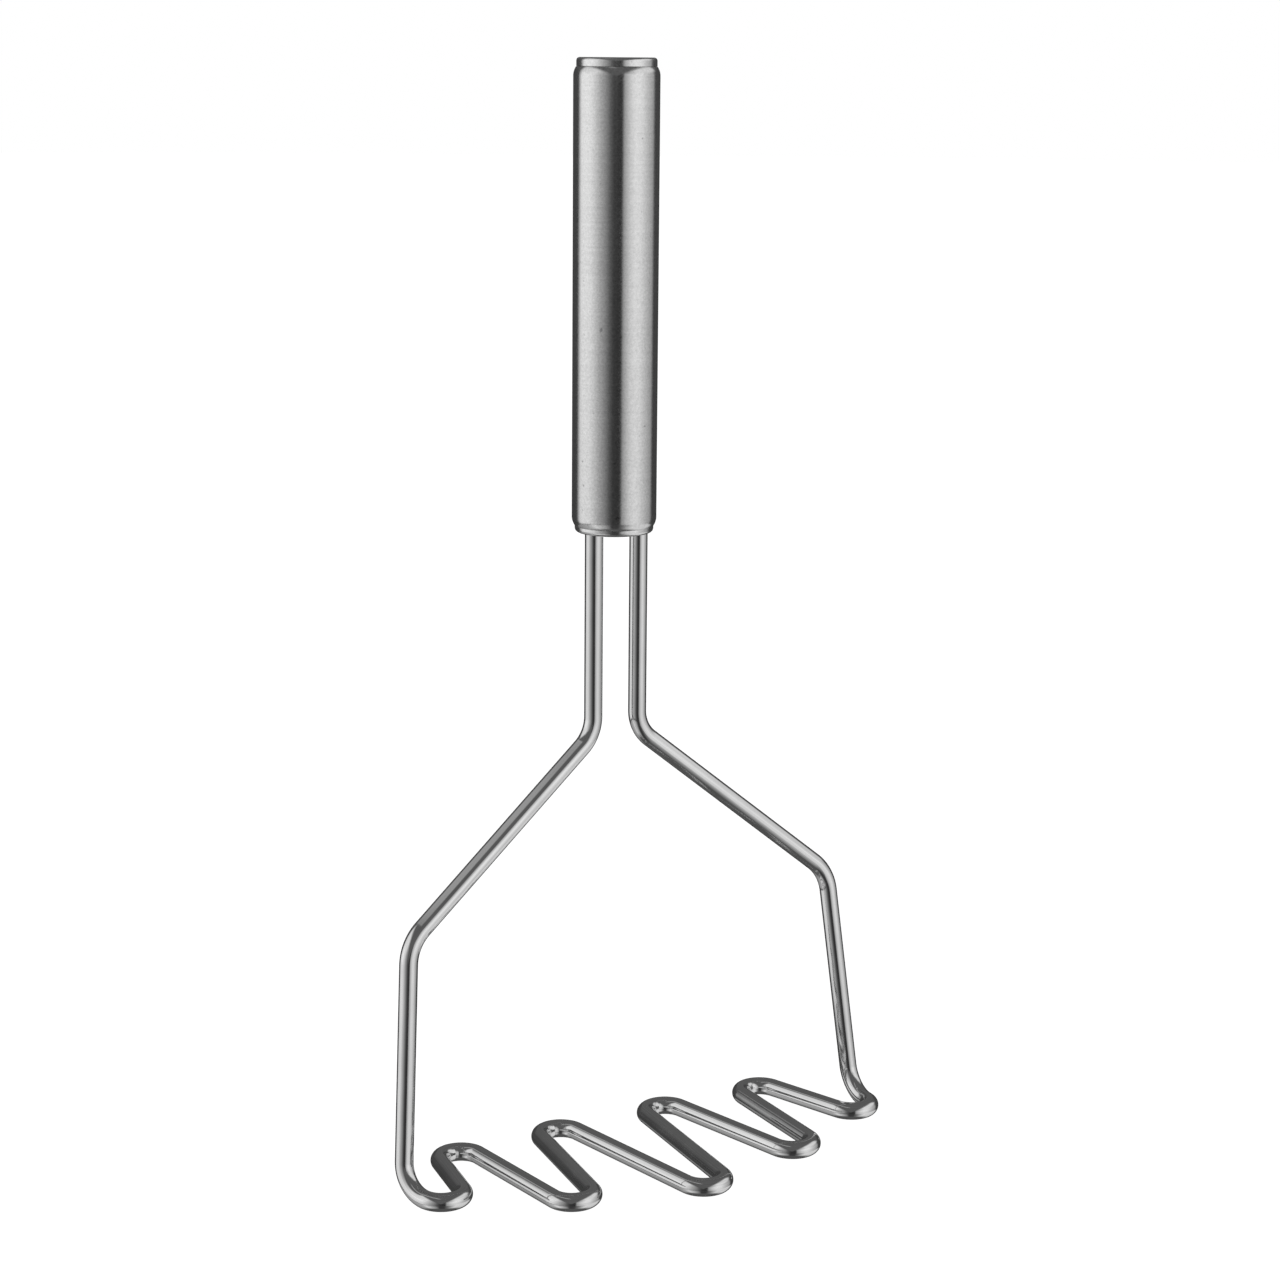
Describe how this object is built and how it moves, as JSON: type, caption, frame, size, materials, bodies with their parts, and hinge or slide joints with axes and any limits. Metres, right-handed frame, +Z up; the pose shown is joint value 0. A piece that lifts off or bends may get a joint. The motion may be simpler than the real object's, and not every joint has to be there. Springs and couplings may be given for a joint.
{
  "type": "potato masher",
  "caption": "Hand potato masher: tubular steel grip with end caps on a bent steel wire whose zigzag foot presses cooked potato.",
  "frame": {"origin": "on the table, at the centre of the whole masher's footprint: the foot rests on Z = 0", "axes": "+Z up along the grip, +X across the foot from leg to leg, -Y towards the front bends of the foot"},
  "size_m": [0.151, 0.068, 0.2988],
  "materials": {
    "brushed_steel": "stainless tube, fine brushing round the grip",
    "cap_steel": "turned and lightly polished stainless",
    "polished_wire": "polished stainless wire",
    "weld_metal": "unpolished weld bead"
  },
  "bodies": {
    "root": {"handle_tube": "brushed_steel", "top_cap": "cap_steel", "bottom_cap": "cap_steel", "masher_wire": "polished_wire", "left_shaft_weld": "weld_metal", "right_shaft_weld": "weld_metal"}
  },
  "joints": []
}
